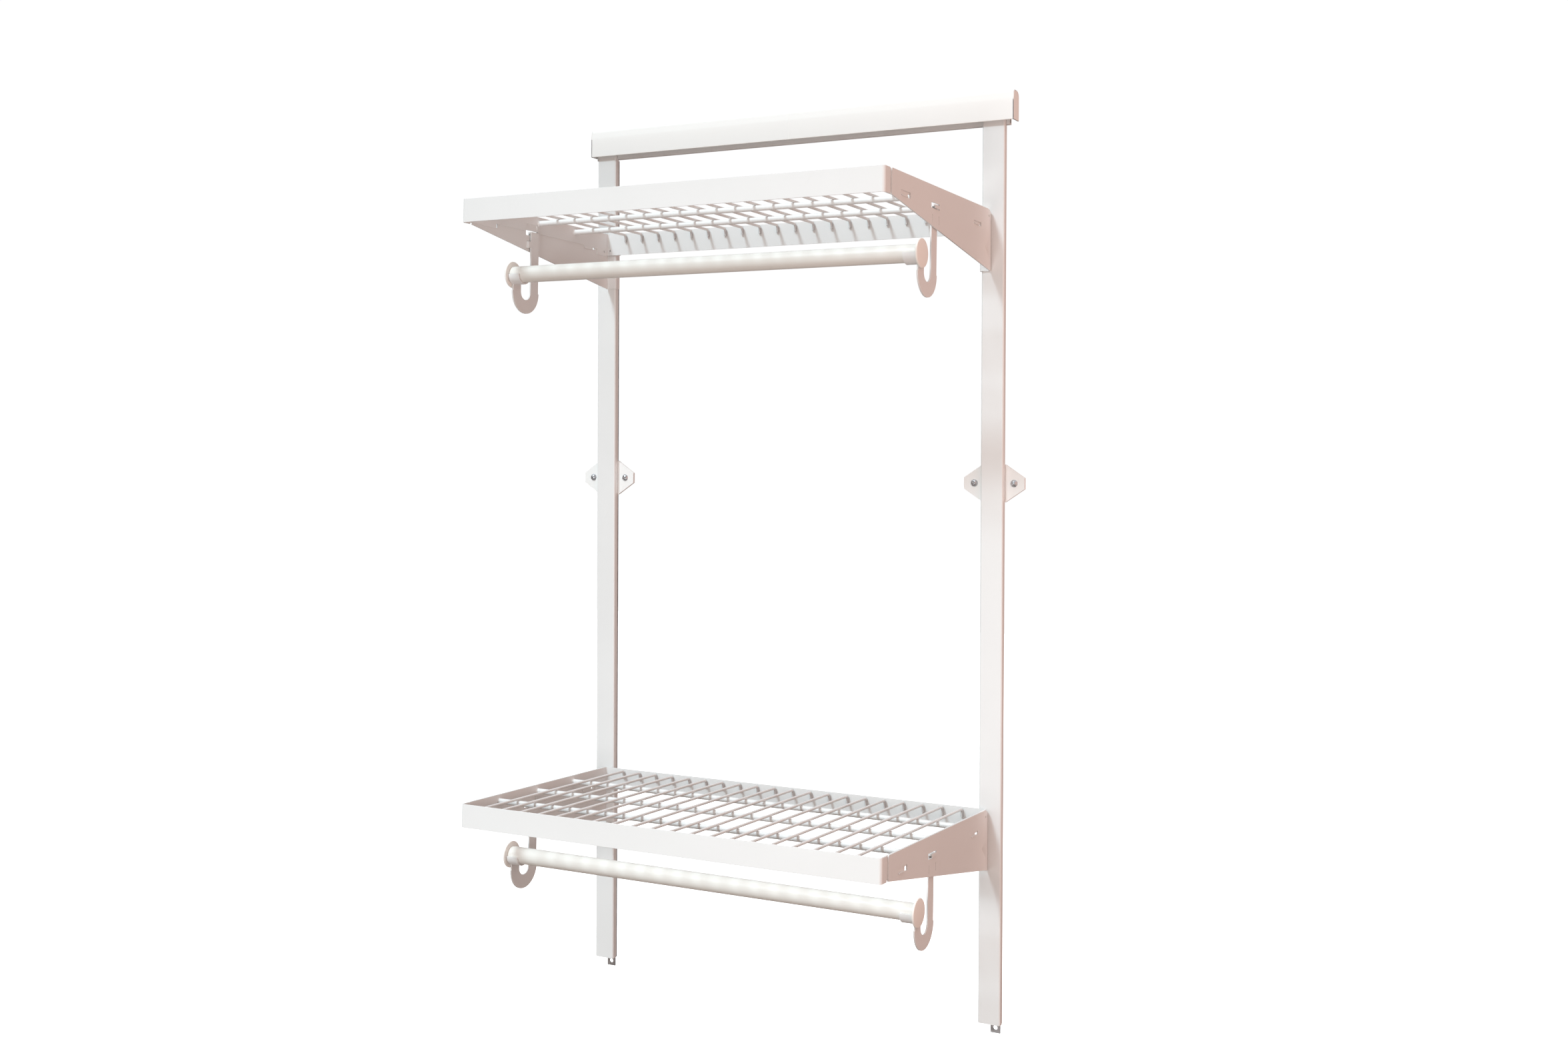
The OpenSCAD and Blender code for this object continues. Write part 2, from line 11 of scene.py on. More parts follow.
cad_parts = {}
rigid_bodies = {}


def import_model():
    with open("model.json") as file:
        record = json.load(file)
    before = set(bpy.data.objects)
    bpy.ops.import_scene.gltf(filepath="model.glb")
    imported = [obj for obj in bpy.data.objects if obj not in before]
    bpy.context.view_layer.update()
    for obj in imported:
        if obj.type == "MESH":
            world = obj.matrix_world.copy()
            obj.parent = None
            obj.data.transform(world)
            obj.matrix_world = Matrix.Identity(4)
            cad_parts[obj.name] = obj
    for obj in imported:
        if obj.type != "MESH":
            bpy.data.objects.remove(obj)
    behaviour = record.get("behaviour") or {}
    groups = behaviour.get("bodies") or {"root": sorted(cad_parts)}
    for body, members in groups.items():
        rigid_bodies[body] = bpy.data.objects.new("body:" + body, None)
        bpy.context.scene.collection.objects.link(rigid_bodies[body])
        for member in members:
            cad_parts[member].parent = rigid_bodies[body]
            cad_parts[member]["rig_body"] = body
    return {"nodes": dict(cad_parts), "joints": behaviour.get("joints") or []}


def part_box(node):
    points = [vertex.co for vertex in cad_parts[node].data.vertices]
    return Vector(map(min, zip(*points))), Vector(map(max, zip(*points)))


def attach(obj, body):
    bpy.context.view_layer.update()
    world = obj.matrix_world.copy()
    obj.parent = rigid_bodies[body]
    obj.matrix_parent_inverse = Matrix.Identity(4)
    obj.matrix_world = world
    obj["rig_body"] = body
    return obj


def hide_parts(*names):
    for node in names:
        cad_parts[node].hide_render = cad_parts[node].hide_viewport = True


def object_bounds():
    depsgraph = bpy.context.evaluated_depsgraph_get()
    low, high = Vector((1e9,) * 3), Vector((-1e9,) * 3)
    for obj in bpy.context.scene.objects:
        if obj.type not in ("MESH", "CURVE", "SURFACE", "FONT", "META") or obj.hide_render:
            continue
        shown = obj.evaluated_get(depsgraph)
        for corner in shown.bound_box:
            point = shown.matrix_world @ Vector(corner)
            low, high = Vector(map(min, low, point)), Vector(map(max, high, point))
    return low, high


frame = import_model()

bl_info = {
    "name": "Wardrobe Rack",
    "version": (1, 0, 0),
    "blender": (4, 5, 0),
    "location": "3D View > Sidebar > Rack",
    "description": "Builds the visible pieces of a wall-hung wardrobe rack",
    "category": "Object",
}

CAD_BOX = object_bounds()
LEVELS = ("upper", "lower")
SIDES = ("left", "right")
MM = 0.001

# The shelf parts' sizes. Distances forward are from the uprights, drops from the top.
SHELF_DEPTH = 336.2 * MM
SHEET = 1.2 * MM
FASCIA_HALF = 297.4 * MM
FASCIA_HEIGHT = 30.2 * MM
FASCIA_RETURN = 15.5 * MM
FASCIA_CORNER = 4 * MM
BAR_HALF = 295 * MM
BAR_RADIUS = 3.6 * MM
BAR_DROP = 8.5 * MM
BAR_ROWS = (88 * MM, 173 * MM, 259 * MM)
WIRE_COUNT = 20
WIRE_RADIUS = 1.8 * MM
WIRE_DROP = 2.85 * MM
WIRE_BEND = 3.5 * MM
WIRE_BACK = 5.4 * MM
WIRE_TAIL = 10 * MM
ROD_FORWARD = 227 * MM
ROD_DROP = 85.3 * MM
ROD_RADIUS = 11 * MM
ROD_BORE = 9.5 * MM
CAP_RADIUS = 17.8 * MM
CAP_THICK = 4 * MM
SPIGOT_RADIUS = 9.44 * MM
SPIGOT_WALL = 1.8 * MM
SPIGOT_LENGTH = 14 * MM


def node_box(node):
    """Lowest and highest corner of a CAD node, as numpy arrays in metres."""
    low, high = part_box(node)
    return np.array(low), np.array(high)


# ------------------------------------------------------------------ places on the rack

UPRIGHT_FRONT = node_box("right_upright_cover")[0][1]
CANT = math.radians(1.4)
SIN_CANT, COS_CANT = math.sin(CANT), math.cos(CANT)


def shelf_top(level):
    """Height of a shelf's top at the uprights, from its rod's hinge point."""
    hinge = next(j for j in frame["joints"] if j["name"] == f"{level}_rod_roll")
    return hinge["pos_m"][2] - ROD_FORWARD * SIN_CANT + ROD_DROP * COS_CANT


def on_shelf(x, s, h, level):
    """Points of a shelf part, given by width x, distance s forward from the uprights
    and height h over the shelf's top, turned up by the shelf's cant. Arrays or
    numbers in metres; gives an array (..., 3)."""
    x, s, h = np.broadcast_arrays(*map(np.asarray, (x, s, h)))
    y = UPRIGHT_FRONT - s * COS_CANT + h * SIN_CANT
    z = shelf_top(level) + s * SIN_CANT + h * COS_CANT
    return np.stack([x.astype(float), y, z], axis=-1)


# ------------------------------------------------------------------ surfaces

QUAD = 4
FLAT_WITHIN = math.radians(0.5)
SAME_CAD_POINT = 2e-6
SAME_POINT = 1e-7
EASED_SMOOTH = 50.0

def grid_faces(rows, columns, close_rows=False, close_columns=False, first=0):
    """Quads over a grid of rows x columns points numbered row by row; a closed
    direction joins its last line to its first."""
    r = np.arange(rows if close_rows else rows - 1)
    c = np.arange(columns if close_columns else columns - 1)
    r, c = np.meshgrid(r, c, indexing="ij")
    r1, c1 = (r + 1) % rows, (c + 1) % columns
    quads = np.stack([r * columns + c, r * columns + c1, r1 * columns + c1, r1 * columns + c],
                     axis=-1)
    return quads.reshape(-1, 4) + first


def tube_faces(rows, columns, first=0):
    """Quads of a closed profile carried along an open path, with a face on each end."""
    sides = [list(q) for q in grid_faces(rows, columns, close_columns=True, first=first)]
    start = list(range(first + columns - 1, first - 1, -1))
    end = list(range(first + (rows - 1) * columns, first + rows * columns))
    return sides + [start, end]


def make_piece(name, shells, node, smooth=40.0):
    """A mesh object from shells, each (points, faces), that rides on the CAD node's
    body and replaces it. Edges sharper than smooth degrees stay crisp."""
    points, faces, count = [], [], 0
    for shell_points, shell_faces in shells:
        flat = np.asarray(shell_points, dtype=float).reshape(-1, 3)
        points.append(flat)
        faces += [[int(i) + count for i in face] for face in shell_faces]
        count += len(flat)
    mesh = bpy.data.meshes.new(name)
    mesh.from_pydata(np.concatenate(points).tolist(), [], faces)
    return place_mesh(name, mesh, node, smooth)


def place_mesh(name, mesh, node, smooth):
    """Puts a finished mesh in the scene in the place of a CAD node."""
    work = bmesh.new()
    work.from_mesh(mesh)
    bmesh.ops.remove_doubles(work, verts=work.verts, dist=SAME_POINT)
    bmesh.ops.recalc_face_normals(work, faces=work.faces)
    work.to_mesh(mesh)
    work.free()
    return show_mesh(name, mesh, node, smooth)


def show_mesh(name, mesh, node, smooth):
    """Shows a mesh for a CAD node: smooth except at edges sharper than smooth degrees
    and on many-sided faces, which are flat sheet. Normals are weighted by area so that
    flat faces stay flat beside eased edges."""
    corners = np.empty(len(mesh.polygons), dtype=np.int32)
    mesh.polygons.foreach_get("loop_total", corners)
    mesh.polygons.foreach_set("use_smooth", corners <= QUAD)
    mesh.set_sharp_from_angle(angle=math.radians(smooth))
    mesh.update()
    piece = bpy.data.objects.new(name, mesh)
    bpy.context.scene.collection.objects.link(piece)
    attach(piece, frame["nodes"][node]["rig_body"])
    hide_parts(node)
    weighted = piece.modifiers.new("flat_faces", "WEIGHTED_NORMAL")
    weighted.weight = 100
    weighted.keep_sharp = True
    return piece


def finish_piece(piece, material):
    """Gives a piece its material."""
    piece.data.materials.clear()
    piece.data.materials.append(material)
    return piece


def eased_copy(name, node, edge, segments=2, angle=30.0, pattern=None):
    """A copy of a CAD node with its edges eased: loose triangles merged, flat faces
    joined, and a bevel of the given width on every edge sharper than angle degrees.
    A pattern is another node with the same shape, eased instead and moved over."""
    source = frame["nodes"][pattern or node]
    move = Vector(frame["nodes"][node].bound_box[0]) - Vector(source.bound_box[0])
    mesh = source.data.copy()
    mesh.name = name
    work = bmesh.new()
    work.from_mesh(mesh)
    bmesh.ops.remove_doubles(work, verts=work.verts, dist=SAME_CAD_POINT)
    bmesh.ops.dissolve_limit(work, angle_limit=FLAT_WITHIN, verts=work.verts,
                             edges=work.edges)
    work.to_mesh(mesh)
    work.free()
    blank = bpy.data.objects.new("blank", mesh)
    bpy.context.scene.collection.objects.link(blank)
    bevel = blank.modifiers.new("eased_edges", "BEVEL")
    bevel.width = edge
    bevel.segments = segments
    bevel.limit_method = "ANGLE"
    bevel.angle_limit = math.radians(angle)
    bevel.use_clamp_overlap = True
    ready = blank.evaluated_get(bpy.context.evaluated_depsgraph_get())
    eased = bpy.data.meshes.new_from_object(ready)
    eased.name = name
    eased.transform(Matrix.Translation(move))
    bpy.data.objects.remove(blank)
    bpy.data.meshes.remove(mesh)
    return show_mesh(name, eased, node, EASED_SMOOTH)


def circle_points(radius, count):
    """Points of a circle in two coordinates, anticlockwise."""
    turn = np.linspace(0, 2 * math.pi, count, endpoint=False)
    return radius * np.cos(turn), radius * np.sin(turn)


def arc(cx, cy, radius, start, stop, count):
    """Points along an arc in the plane, angles in degrees."""
    angle = np.radians(np.linspace(start, stop, count))
    return np.stack([cx + radius * np.cos(angle), cy + radius * np.sin(angle)], axis=-1)


def strip_outline(line, thickness, end_steps=5):
    """Closed outline of bent sheet: the middle line moved half the thickness to each
    side along its normals, with a half-round at each end."""
    line = np.asarray(line, dtype=float)
    ahead = np.gradient(line, axis=0)
    ahead /= np.linalg.norm(ahead, axis=1, keepdims=True)
    across = np.stack([-ahead[:, 1], ahead[:, 0]], axis=-1)
    half = thickness / 2
    turn = np.linspace(0, math.pi, end_steps + 2)[1:-1, None]
    last = line[-1] + half * (across[-1] * np.cos(turn) + ahead[-1] * np.sin(turn))
    first = line[0] + half * (-across[0] * np.cos(turn) - ahead[0] * np.sin(turn))
    return np.concatenate([line + half * across, last, (line - half * across)[::-1], first])


def extrude(outline, stations, inset):
    """Carries a closed outline (k, 2) along straight stations (n). The first and last
    stations are doubled by a short step in which the outline shrinks by inset, so the
    cut ends have eased edges. Gives (n, k, 3): outline coordinates, then the station."""
    around = np.roll(outline, -1, axis=0) - np.roll(outline, 1, axis=0)
    around /= np.maximum(np.linalg.norm(around, axis=1, keepdims=True), 1e-12)
    inward = np.stack([-around[:, 1], around[:, 0]], axis=-1)
    area = np.sum(outline[:, 0] * np.roll(outline[:, 1], -1)
                  - np.roll(outline[:, 0], -1) * outline[:, 1])
    if area < 0:
        inward = -inward
    small = outline + inset * inward
    stations = np.asarray(stations, dtype=float)
    step = inset * np.sign(stations[-1] - stations[0])
    places = np.concatenate([[stations[0], stations[0] + step], stations[1:-1],
                             [stations[-1] - step, stations[-1]]])
    rows = np.repeat(outline[None], len(places), axis=0)
    rows[0], rows[-1] = small, small
    depth = np.repeat(places[:, None], len(outline), axis=1)
    return np.concatenate([rows, depth[..., None]], axis=-1)


# ------------------------------------------------------------------ shader maths


class Sock:
    """A node socket, or a number, that takes part in expressions: each operator adds
    its Math node."""

    def __init__(self, tree, link):
        self.tree, self.link = tree, link

    def math(self, operation, *others):
        """The Math node of that operation on this socket and the others."""
        values = {i: o.link if isinstance(o, Sock) else o for i, o in enumerate(others, 1)}
        return self.tree.add("ShaderNodeMath", {"operation": operation},
                             {0: self.link, **values})

    def __add__(self, other):
        return self.math("ADD", other)

    def __radd__(self, other):
        return self.math("ADD", other)

    def __mul__(self, other):
        return self.math("MULTIPLY", other)

    def __rmul__(self, other):
        return self.math("MULTIPLY", other)

    def __sub__(self, other):
        return self.math("SUBTRACT", other)

    def __rsub__(self, other):
        return self.math("MULTIPLY", -1.0) + other

    def __pow__(self, other):
        return self.math("POWER", other)

    def step(self, low, high):
        """0 below low, 1 above high, smooth between."""
        return self.tree.add("ShaderNodeMapRange", {"interpolation_type": "SMOOTHSTEP"},
                             {"Value": self.link, "From Min": low, "From Max": high})


class Tree:
    """A material's node tree, with one way to add any node."""

    def __init__(self, name):
        self.material = bpy.data.materials.new(name)
        self.material.use_nodes = True
        self.nodes = self.material.node_tree.nodes
        self.links = self.material.node_tree.links
        self.shader = self.nodes["Principled BSDF"]
        self.place = self.add("ShaderNodeTexCoord", {}, {}, "Object")

    def add(self, kind, settings, sockets, output=0):
        """Adds a node, sets its settings, then its sockets from values or links."""
        node = self.nodes.new(kind)
        for key, value in settings.items():
            setattr(node, key, value)
        for key, value in sockets.items():
            value = value.link if isinstance(value, Sock) else value
            if isinstance(value, bpy.types.NodeSocket):
                self.links.new(value, node.inputs[key])
            else:
                node.inputs[key].default_value = value
        return Sock(self, node.outputs[output])

    def stretched(self, scale):
        """Object coordinates scaled along each axis."""
        return self.add("ShaderNodeMapping", {}, {"Vector": self.place, "Scale": scale})

    def noise(self, scale, detail=3.0, rough=0.55, stretch=None):
        """Noise from 0 to 1 at a scale in cycles per metre."""
        where = self.stretched(stretch) if stretch else self.place
        return self.add("ShaderNodeTexNoise", {"noise_dimensions": "3D"},
                        {"Vector": where, "Scale": scale, "Detail": detail,
                         "Roughness": rough})

    def axis(self, name):
        """One of the object coordinates X, Y or Z, in metres."""
        return self.add("ShaderNodeSeparateXYZ", {}, {"Vector": self.place}, name)

    def blend(self, factor, first, second):
        """Colour mixed from first to second."""
        return self.add("ShaderNodeMix", {"data_type": "RGBA"},
                        {"Factor": factor, 6: first, 7: second}, 2)

    def bump(self, height, distance, strength):
        """Bump of a height field, in metres."""
        return self.add("ShaderNodeBump", {}, {"Height": height, "Distance": distance,
                                               "Strength": strength})

    def finish(self, constants=None, **varying):
        """Links the varying inputs of the shader and sets its constant ones."""
        for key, value in (constants or {}).items():
            self.shader.inputs[key].default_value = value
        for key, value in varying.items():
            self.links.new(value.link, self.shader.inputs[key.replace("_", " ")])
        return self.material


def shade(colour, factor):
    """A colour made darker or lighter, with alpha."""
    return (*[min(1.0, c * factor) for c in colour[:3]], 1.0)


SCUFF_GREY = (0.72, 0.71, 0.69, 1)
RUB_GREY = (0.7, 0.68, 0.64, 1)
# Dark grey painted on the deck wires' bent rear ends and tails.
TAIL_DARK_GREY = (0.33, 0.34, 0.35, 1)
FINE_GRAIN = 0.00005


def coated_metal(name, colour, grain, gloss):
    """Powder coat: fine orange peel, slow drift in tone, faint scuffs that are a
    little rougher and greyer."""
    tree = Tree(name)
    peel = tree.noise(900, 2.0)
    drift = tree.noise(7, 3.0)
    speck = tree.noise(260, 4.0).step(0.62, 0.75)
    scuff = tree.noise(38, 5.0, 0.7, (1, 0.35, 1)).step(0.6, 0.72)
    tone = tree.blend(drift.step(0.3, 0.7), shade(colour, 0.985), shade(colour, 1.01))
    tone = tree.blend(scuff * 0.10, tone, SCUFF_GREY)
    tone = tree.blend(speck * 0.05, tone, shade(colour, 0.8))
    rough = scuff * 0.10 + drift * 0.08 + (gloss - 0.04)
    normal = tree.bump(peel + scuff * 0.4, grain, 0.35)
    return tree.finish({"Specular IOR Level": 0.45, "Coat Roughness": 0.25},
                       Base_Color=tone, Roughness=rough, Normal=normal)


def moulded_plastic(name, colour, gloss):
    """Moulded plastic: faint flow marks, very fine texture and light handling marks."""
    tree = Tree(name)
    flow = tree.noise(9, 3.0, 0.5, (0.4, 1, 1))
    fine = tree.noise(1400, 2.0)
    marks = tree.noise(55, 5.0, 0.7).step(0.62, 0.74)
    tone = tree.blend(flow.step(0.3, 0.7), shade(colour, 0.98), shade(colour, 1.01))
    tone = tree.blend(marks * 0.08, tone, shade(colour, 0.82))
    rough = marks * 0.12 + flow * 0.06 + (gloss - 0.03)
    return tree.finish({"Specular IOR Level": 0.5}, Base_Color=tone, Roughness=rough,
                       Normal=tree.bump(fine + flow * 0.5, 0.00004, 0.5))


def galvanised_steel(name, colour):
    """Zinc-dipped sheet: spangle cells of slightly different grey and gloss, with
    rolling lines along the length and dull patches."""
    tree = Tree(name)
    cells = tree.add("ShaderNodeTexVoronoi", {"feature": "F1"},
                     {"Vector": tree.place, "Scale": 210.0}, "Color")
    cell = tree.add("ShaderNodeSeparateColor", {}, {"Color": cells}, 0)
    rolled = tree.noise(120, 3.0, 0.6, (14, 14, 0.6))
    dull = tree.noise(30, 4.0, 0.6).step(0.45, 0.7)
    tone = tree.blend(cell, shade(colour, 0.86), shade(colour, 1.1))
    tone = tree.blend(dull * 0.5, tone, shade(colour, 0.8))
    rough = cell * 0.12 + dull * 0.15 + rolled * 0.1 + 0.28
    return tree.finish({}, Base_Color=tone, Roughness=rough, Metallic=dull * -0.3 + 0.85,
                       Normal=tree.bump(rolled + cell * 0.3, FINE_GRAIN, 0.4))


def plated_zinc(name, colour):
    """Bright zinc plate on a turned head: fine ring marks and a little dullness."""
    tree = Tree(name)
    turned = tree.noise(2400, 2.0)
    dull = tree.noise(400, 3.0).step(0.4, 0.7)
    tone = tree.blend(dull * 0.5, shade(colour, 1.05), shade(colour, 0.75))
    return tree.finish({}, Base_Color=tone, Roughness=dull * 0.2 + 0.22,
                       Metallic=dull * -0.2 + 0.95, Normal=tree.bump(turned, 0.00003, 0.4))


def rod_enamel(name, colour):
    """Painted tube: long faint draw lines and small hanger rubs along its top."""
    tree = Tree(name)
    drawn = tree.noise(300, 3.0, 0.6, (0.03, 1, 1))
    drift = tree.noise(14, 3.0, 0.5, (0.6, 1, 1))
    rub = tree.noise(70, 5.0, 0.7, (2.5, 0.5, 0.5)).step(0.6, 0.72)
    tone = tree.blend(drift.step(0.3, 0.7), shade(colour, 0.975), shade(colour, 1.01))
    tone = tree.blend(rub * 0.12, tone, RUB_GREY)
    rough = rub * 0.12 + drift * 0.08 + 0.3
    return tree.finish({"Specular IOR Level": 0.5}, Base_Color=tone, Roughness=rough,
                       Normal=tree.bump(drawn + rub * 0.3, FINE_GRAIN, 0.5))


def welded_wire(name, colour):
    """Coated wire with patchy dark grey painted on its bent rear ends and tails."""
    tree = Tree(name)
    # the bent rear ends and tails are painted patchy dark grey
    tail_zone = tree.axis("Y").step(UPRIGHT_FRONT - 9 * MM, UPRIGHT_FRONT - 5.5 * MM)
    patch = tree.noise(500, 3.0).step(0.3, 0.6)
    dark_tail = tail_zone * (patch * 0.5 + 0.5)
    peel = tree.noise(900, 2.0)
    drift = tree.noise(25, 3.0)
    tone = tree.blend(drift.step(0.3, 0.7), shade(colour, 0.98), shade(colour, 1.01))
    tone = tree.blend(dark_tail * 0.75, tone, TAIL_DARK_GREY)
    return tree.finish({"Specular IOR Level": 0.45}, Base_Color=tone,
                       Roughness=drift * 0.1 + 0.3, Normal=tree.bump(peel, FINE_GRAIN, 0.35))


# ------------------------------------------------------------------ settings


class RackFinishes(PropertyGroup):
    """Colours of the rack's finishes."""
    coat: FloatVectorProperty(
        name="Powder coat", description="Uprights, brackets and shelves", size=3,
        subtype="COLOR", min=0, max=1, default=(0.84, 0.845, 0.84))
    cover: FloatVectorProperty(
        name="Rail cover", description="Plastic cover of the top rail", size=3,
        subtype="COLOR", min=0, max=1, default=(0.86, 0.845, 0.81))
    plate: FloatVectorProperty(
        name="Wall plates", description="Plates behind the uprights", size=3,
        subtype="COLOR", min=0, max=1, default=(0.84, 0.845, 0.835))
    rod: FloatVectorProperty(
        name="Rods", description="Painted clothes rods", size=3,
        subtype="COLOR", min=0, max=1, default=(0.86, 0.85, 0.81))
    cap: FloatVectorProperty(
        name="Rod caps", description="Moulded rod ends", size=3,
        subtype="COLOR", min=0, max=1, default=(0.86, 0.82, 0.75))
    zinc: FloatVectorProperty(
        name="Zinc", description="Galvanised sheet and screw heads", size=3,
        subtype="COLOR", min=0, max=1, default=(0.55, 0.57, 0.6))


class RackSizes(PropertyGroup):
    """Sizes that only the looks use."""
    ease: FloatProperty(
        name="Eased edge", description="Width of the coat's rounding on sheet edges",
        default=0.3 * MM, min=0.05 * MM, max=1 * MM, subtype="DISTANCE", unit="LENGTH")
    around: IntProperty(
        name="Sides of a rod", description="Faces round a clothes rod",
        default=64, min=24, max=128)
    wire_around: IntProperty(
        name="Sides of a wire", description="Faces round a deck wire",
        default=16, min=8, max=32)


class RackStage(PropertyGroup):
    """Lights and floor."""
    key_power: FloatProperty(
        name="Key light", description="Power of the main light", default=2200, min=0,
        unit="POWER")
    fill_power: FloatProperty(
        name="Fill light", description="Power of the low front light", default=15, min=0,
        unit="POWER")
    bounce_power: FloatProperty(
        name="Warm bounce", description="Power of the warm light on the right",
        default=12, min=0, unit="POWER")
    room: FloatProperty(
        name="Room light", description="Strength of the bright room", default=1.0, min=0)


def finishes():
    """The scene's finish settings."""
    return bpy.context.scene.rack_finishes


def sizes():
    """The scene's size settings."""
    return bpy.context.scene.rack_sizes


def material(name, build):
    """The material of that name, built on first use."""
    return bpy.data.materials.get(name) or build(name)


def coat_material():
    """White powder coat, shared by every coated piece."""
    return material("white_powder_coat", lambda n: coated_metal(
        n, finishes().coat, 0.00006, 0.38))


def zinc_sheet_material():
    """Galvanised sheet of the slotted standards."""
    return material("galvanised_sheet", lambda n: galvanised_steel(n, finishes().zinc))


# ------------------------------------------------------------------ pieces


class RACK_OT_rail(Operator):
    """Coated steel rail on the wall"""
    bl_idname = "rack.rail"
    bl_label = "Hang rail"

    def execute(self, context):
        piece = eased_copy("rail", "hang_rail", 0.2 * MM)
        finish_piece(piece, coat_material())
        return {"FINISHED"}


class RACK_OT_rail_covers(Operator):
    """Two-part rail cover: a bent strip carried along the wall, closed at its outer end"""
    bl_idname = "rack.rail_covers"
    bl_label = "Rail covers"

    def line(self, low, high, inset):
        """Outline of the cover across the rail, moved inward by inset: up the front,
        leaning back in its upper part, a corner, the flat top, and down a larger round
        to the rail's top flange."""
        front, bottom, top = low[1] + inset, low[2], high[2] - inset
        lean, lean_height = 1.2 * MM, 8 * MM
        corner = 3 * MM - inset
        flange = node_box("hang_rail")[1][2]
        back = high[2] - flange
        rise = np.linspace(lean_height, top - corner, 5)
        slope = (rise - lean_height) / (rise[-1] - lean_height)
        lower = np.linspace(bottom, lean_height, 6)[:-1]
        return np.concatenate([
            np.stack([np.full(5, front), lower], axis=-1),
            np.stack([front + lean * slope, rise], axis=-1),
            arc(front + lean + corner, top - corner, corner, 180, 90, 7)[1:],
            arc(-back, flange, back - inset, 90, 0, 12)])

    def execute(self, context):
        wall, strip_ease, plate_ease = 1.5 * MM, 0.25 * MM, 0.6 * MM
        for side in SIDES:
            node = f"rail_cover_{side}"
            low, high = node_box(node)
            joint, end = (low[0], high[0]) if side == "right" else (high[0], low[0])
            step = math.copysign(wall, end - joint)
            middle = self.line(low, high, wall / 2)
            middle[0, 1] += wall / 2
            strip = strip_outline(middle, wall)
            edge = self.line(low, high, 0)
            plate = np.concatenate([edge, [[0, low[2]]]])
            shells = []
            for outline, start, stop, ease in (
                    (strip, joint, end - step / 2, strip_ease),
                    (plate, end - step, end, plate_ease)):
                rows = extrude(outline, np.linspace(start, stop, 12), ease)
                points = rows[..., [2, 0, 1]]
                shells.append((points, tube_faces(*points.shape[:2])))
            piece = make_piece(f"rail_cover_{side}_shell", shells, node)
            finish_piece(piece, material("cover_plastic", lambda n: moulded_plastic(
                n, finishes().cover, 0.42)))
        return {"FINISHED"}


class RACK_OT_uprights(Operator):
    """Slotted steel standards and the white covers over them"""
    bl_idname = "rack.uprights"
    bl_label = "Uprights"

    def execute(self, context):
        for side in SIDES:
            cover = eased_copy(f"{side}_upright_shell", f"{side}_upright_cover", sizes().ease)
            finish_piece(cover, coat_material())
            standard = frame["nodes"][f"{side}_standard"]
            finish_piece(standard, zinc_sheet_material())
        return {"FINISHED"}


class RACK_OT_wall_plates(Operator):
    """Six-sided wall plates and their cross-recessed screws"""
    bl_idname = "rack.wall_plates"
    bl_label = "Wall plates"

    def execute(self, context):
        for side in SIDES:
            plate = eased_copy(f"{side}_plate", f"{side}_wall_plate", 0.6 * MM, 3)
            finish_piece(plate, material("plate_plastic", lambda n: moulded_plastic(
                n, finishes().plate, 0.4)))
        screws = eased_copy("plate_screws", "wall_plate_screws", 0.15 * MM)
        finish_piece(screws, material("bright_zinc", lambda n: plated_zinc(
            n, finishes().zinc)))
        return {"FINISHED"}


class RACK_OT_brackets(Operator):
    """Pressed sheet-metal brackets"""
    bl_idname = "rack.brackets"
    bl_label = "Brackets"

    def execute(self, context):
        for level in LEVELS:
            for side in SIDES:
                piece = eased_copy(f"{level}_{side}_arm", f"{level}_{side}_bracket",
                                   sizes().ease, pattern=f"upper_{side}_bracket")
                finish_piece(piece, coat_material())
        return {"FINISHED"}


class RACK_OT_shelf_frames(Operator):
    """Bent shelf frames and their front fascias"""
    bl_idname = "rack.shelf_frames"
    bl_label = "Shelf frames"

    def fascia(self, level):
        """Middle line in plan: a side return, a round corner, the front, the other
        corner and return; carried down the fascia's height."""
        half, depth, t, r = FASCIA_HALF, SHELF_DEPTH, SHEET, FASCIA_CORNER
        mid = r - t / 2
        back = depth - FASCIA_RETURN
        right = np.concatenate([
            np.stack([np.linspace(0, half - r, 8), np.full(8, depth - t / 2)], axis=-1),
            arc(half - r, depth - r, mid, 90, 0, 8)[1:],
            [[half - t / 2, (depth - r + back) / 2], [half - t / 2, back + t / 2]]])
        left = right[:0:-1] * [-1, 1]
        outline = strip_outline(np.concatenate([left, right]), t)
        rows = extrude(outline, [-FASCIA_HEIGHT, -15 * MM, 0], 0.25 * MM)
        points = on_shelf(rows[..., 0], rows[..., 1], rows[..., 2], level)
        return points, tube_faces(*points.shape[:2])

    def execute(self, context):
        for level in LEVELS:
            body = eased_copy(f"{level}_frame_strip", f"{level}_shelf_frame", 0.2 * MM)
            finish_piece(body, coat_material())
            strip = make_piece(f"{level}_fascia_strip", [self.fascia(level)],
                               f"{level}_fascia")
            finish_piece(strip, coat_material())
        return {"FINISHED"}


